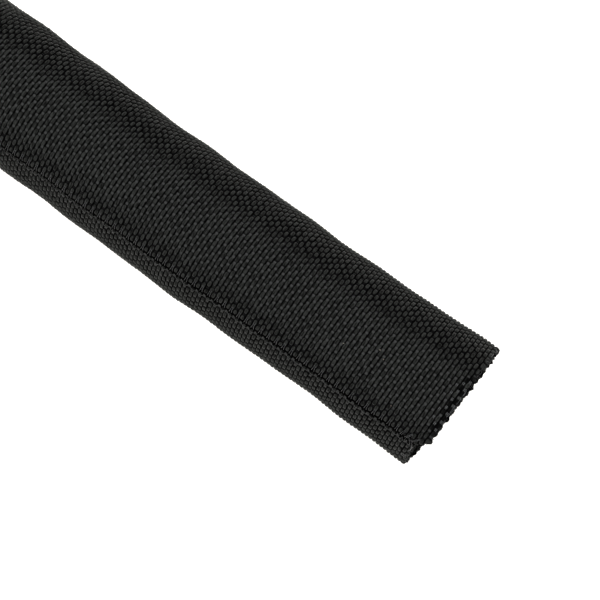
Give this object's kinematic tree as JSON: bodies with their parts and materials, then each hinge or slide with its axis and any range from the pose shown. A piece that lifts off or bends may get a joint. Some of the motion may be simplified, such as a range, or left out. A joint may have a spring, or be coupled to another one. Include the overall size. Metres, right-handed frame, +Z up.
{
  "type": "braided cable sleeve",
  "caption": "Long soft woven sleeve, split lengthwise and lapped over itself, that wraps and protects a bundle of cables.",
  "frame": {"origin": "middle of the sleeve's length and width, on the surface that it lies on", "axes": "+X runs along the sleeve to the cut end that the picture shows, +Z up, and the free edge of the lap lies on the -Y side of the top"},
  "size_m": [0.5, 0.0406, 0.0393],
  "materials": {
    "sleeve_cloth": "matte plain weave with fine glossy filaments"
  },
  "bodies": {
    "root": {"woven_sleeve": "sleeve_cloth"}
  },
  "joints": []
}
